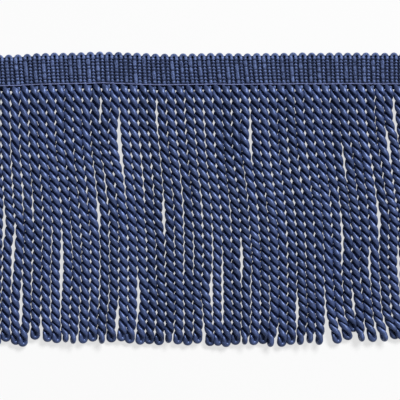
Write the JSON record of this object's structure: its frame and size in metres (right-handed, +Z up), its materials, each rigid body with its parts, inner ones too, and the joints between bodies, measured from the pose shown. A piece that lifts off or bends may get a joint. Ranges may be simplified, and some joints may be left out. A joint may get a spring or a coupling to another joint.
{
  "type": "bullion fringe",
  "caption": "Cut length of bullion fringe: a ribbed woven heading with a scalloped edge and a skirt of thick two-ply twisted cords that end in closed loops, lying flat.",
  "frame": {"origin": "middle of the heading's flat back, on the surface that the fringe lies on", "axes": "+X along the heading, +Y from the cords' ends up to the scallops, +Z up, out of the heading's face"},
  "size_m": [0.2317, 0.154, 0.005],
  "materials": {
    "heading_yarn": "ribbed satin yarn, bound by fine warp threads",
    "cord_yarn": "twisted satin yarn"
  },
  "bodies": {
    "root": {"heading": "heading_yarn", "bullion_skirt": "cord_yarn"}
  },
  "joints": []
}
